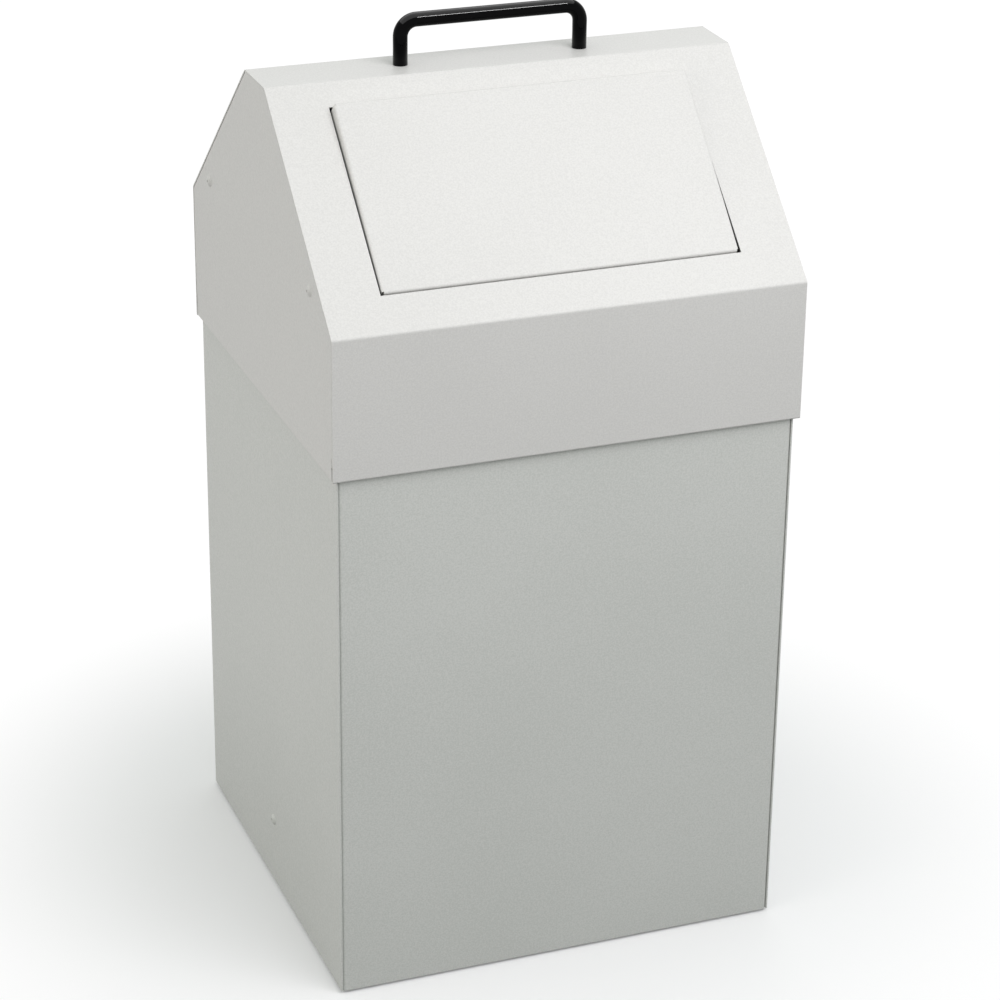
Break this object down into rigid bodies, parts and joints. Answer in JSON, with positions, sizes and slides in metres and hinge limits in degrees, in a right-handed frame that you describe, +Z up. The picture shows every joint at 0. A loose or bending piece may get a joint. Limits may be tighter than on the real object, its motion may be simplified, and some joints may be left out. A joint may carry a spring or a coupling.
{
  "type": "recycling bin",
  "caption": "Tall square sheet-steel bin with a gabled lift-off hood, a sprung push flap in its front slope and a black bow handle on its ridge.",
  "frame": {"origin": "on the floor under the centre of the bin", "axes": "+Z up, -Y towards the front where the push flap is, +X to the right of someone who stands facing the flap; left and right in the names are as that person sees them"},
  "size_m": [0.3336, 0.32, 0.645],
  "materials": {
    "coat_body": "satin powder coat",
    "coat_hood": "satin powder coat",
    "coat_flap": "satin powder coat",
    "coat_fittings": "satin powder coat",
    "coated_rivet": "satin powder coat",
    "black_gloss": "gloss enamel",
    "black_rubber": "matte",
    "bush_plastic": "matte",
    "zinc_steel": "zinc plated",
    "spring_steel": "drawn wire"
  },
  "bodies": {
    "body": {"front_panel": "coat_body", "back_panel": "coat_body", "left_panel": "coat_body", "right_panel": "coat_body", "floor_pan": "coat_body", "floor_rivets": "coated_rivet", "rubber_feet": "black_rubber", "bag_frame": "zinc_steel", "bag_frame_hooks": "coat_fittings"},
    "hood": {"hood_wrap": "coat_hood", "left_gable": "coat_hood", "right_gable": "coat_hood", "left_support_rail": "coat_fittings", "right_support_rail": "coat_fittings", "rail_rivets": "coated_rivet", "carry_handle": "black_gloss", "handle_screws": "zinc_steel", "handle_washers": "zinc_steel", "left_pivot_bracket": "coat_fittings", "right_pivot_bracket": "coat_fittings", "pivot_bushes": "bush_plastic", "left_return_spring": "spring_steel", "right_return_spring": "spring_steel"},
    "flap": {"flap_panel": "coat_flap", "flap_bumpers": "black_rubber", "hinge_rod": "zinc_steel", "rod_clips": "spring_steel"}
  },
  "joints": [
    {"name": "hood_lift", "type": "slide", "parent": "body", "child": "hood", "axis": [0, 0, 1], "range_m": [0, 0.15]},
    {"name": "flap_swing", "type": "hinge", "parent": "hood", "child": "flap", "pos_m": [0, -0.03894, 0.58521], "axis": [1, 0, 0], "range_deg": [0, 60], "stiffness_Nm_per_rad": 0.27, "springref_deg": -80.21, "deforming": ["left_return_spring", "right_return_spring"]}
  ]
}
